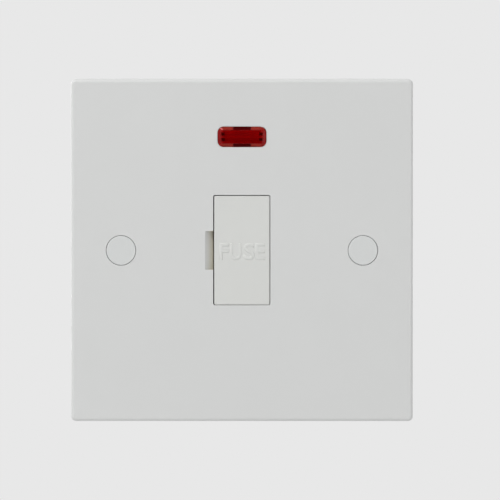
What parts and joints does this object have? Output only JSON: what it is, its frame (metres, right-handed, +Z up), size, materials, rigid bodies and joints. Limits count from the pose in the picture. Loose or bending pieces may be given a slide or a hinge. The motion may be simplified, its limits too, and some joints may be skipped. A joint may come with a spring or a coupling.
{
  "type": "fused spur unit",
  "caption": "Square wall plate outlet with a pull-out fuse carrier, red neon lens, capped fixing holes and screw terminals behind.",
  "frame": {"origin": "centre of the wall plane, on the back edge of the plate's rim", "axes": "+Y into the wall, +X right and +Z up as the front is looked at; the front face looks along -Y"},
  "size_m": [0.086, 0.0289, 0.086],
  "materials": {
    "white_moulding": "smooth white moulded plastic",
    "housing_moulding": "satin white moulded plastic",
    "red_lens": "clear red, polished",
    "lamp_glass": "clear glass",
    "resistor_body": "lacquered",
    "fuse_ceramic": "unglazed ceramic",
    "nickel_plate": "dull nickel plate",
    "brass": "bare stamped and machined",
    "plated_steel": "bright zinc plate",
    "tinned_wire": "tinned copper"
  },
  "bodies": {
    "unit": {"front_plate": "white_moulding", "rear_housing": "housing_moulding", "neon_lens": "red_lens", "neon_lamp": "lamp_glass", "neon_resistor": "resistor_body", "load_fuse_clip": "brass", "supply_fuse_clip": "brass", "neutral_link": "brass", "earth_link": "brass", "load_earth_terminal": "brass", "load_line_terminal": "brass", "load_neutral_terminal": "brass", "supply_earth_terminal": "brass", "supply_line_terminal": "brass", "supply_neutral_terminal": "brass", "load_earth_screw": "plated_steel", "load_line_screw": "plated_steel", "load_neutral_screw": "plated_steel", "supply_earth_screw": "plated_steel", "supply_line_screw": "plated_steel", "supply_neutral_screw": "plated_steel", "housing_screw_1": "plated_steel", "housing_screw_2": "plated_steel", "housing_screw_3": "plated_steel", "housing_screw_4": "plated_steel", "neon_line_lead": "tinned_wire", "neon_resistor_lead": "tinned_wire", "neon_neutral_lead": "tinned_wire"},
    "fuse_drawer": {"fuse_carrier": "white_moulding", "fuse_tube": "fuse_ceramic", "fuse_cap_upper": "nickel_plate", "fuse_cap_lower": "nickel_plate"},
    "left_cap": {"left_screw_cap": "white_moulding"},
    "right_cap": {"right_screw_cap": "white_moulding"}
  },
  "joints": [
    {"name": "fuse_drawer_pull", "type": "slide", "parent": "unit", "child": "fuse_drawer", "axis": [0, -1, 0], "range_m": [0, 0.018]},
    {"name": "left_cap_pull", "type": "slide", "parent": "unit", "child": "left_cap", "axis": [0, -1, 0], "range_m": [0, 0.006]},
    {"name": "right_cap_pull", "type": "slide", "parent": "unit", "child": "right_cap", "axis": [0, -1, 0], "range_m": [0, 0.006]}
  ]
}
